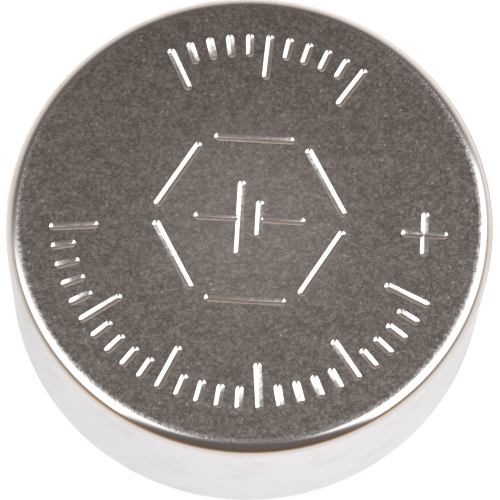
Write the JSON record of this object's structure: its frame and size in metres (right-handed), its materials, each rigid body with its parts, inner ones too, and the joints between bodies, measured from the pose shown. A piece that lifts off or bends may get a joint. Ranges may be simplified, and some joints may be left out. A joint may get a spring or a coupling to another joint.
{
  "type": "alkaline button cell",
  "caption": "Alkaline button cell: steel can crimped over a nylon seal and a folded-rim negative cap, closing in the electrode stack, with plain marks coined in its positive face.",
  "frame": {"origin": "centre of the negative contact face, in the plane that the cell stands on", "axes": "+Z along the cell's axis, towards the can's positive face; +X towards the plus sign coined there"},
  "size_m": [0.0116, 0.0116, 0.0054],
  "materials": {
    "positive_can": "bead-blasted nickel plate on the face, bright nickel plate on the wall",
    "cathode_pellet": "pressed black powder",
    "barrier_film": "thin translucent film",
    "absorbent_disc": "non-woven fibre",
    "anode_gel": "wet grey gel with metal powder",
    "seal_gasket": "moulded nylon",
    "negative_cap": "bright nickel plate"
  },
  "bodies": {
    "root": {"positive_can": "positive_can", "cathode_pellet": "cathode_pellet", "barrier_film": "barrier_film", "absorbent_disc": "absorbent_disc", "anode_gel": "anode_gel", "seal_gasket": "seal_gasket", "negative_cap": "negative_cap"}
  },
  "joints": []
}
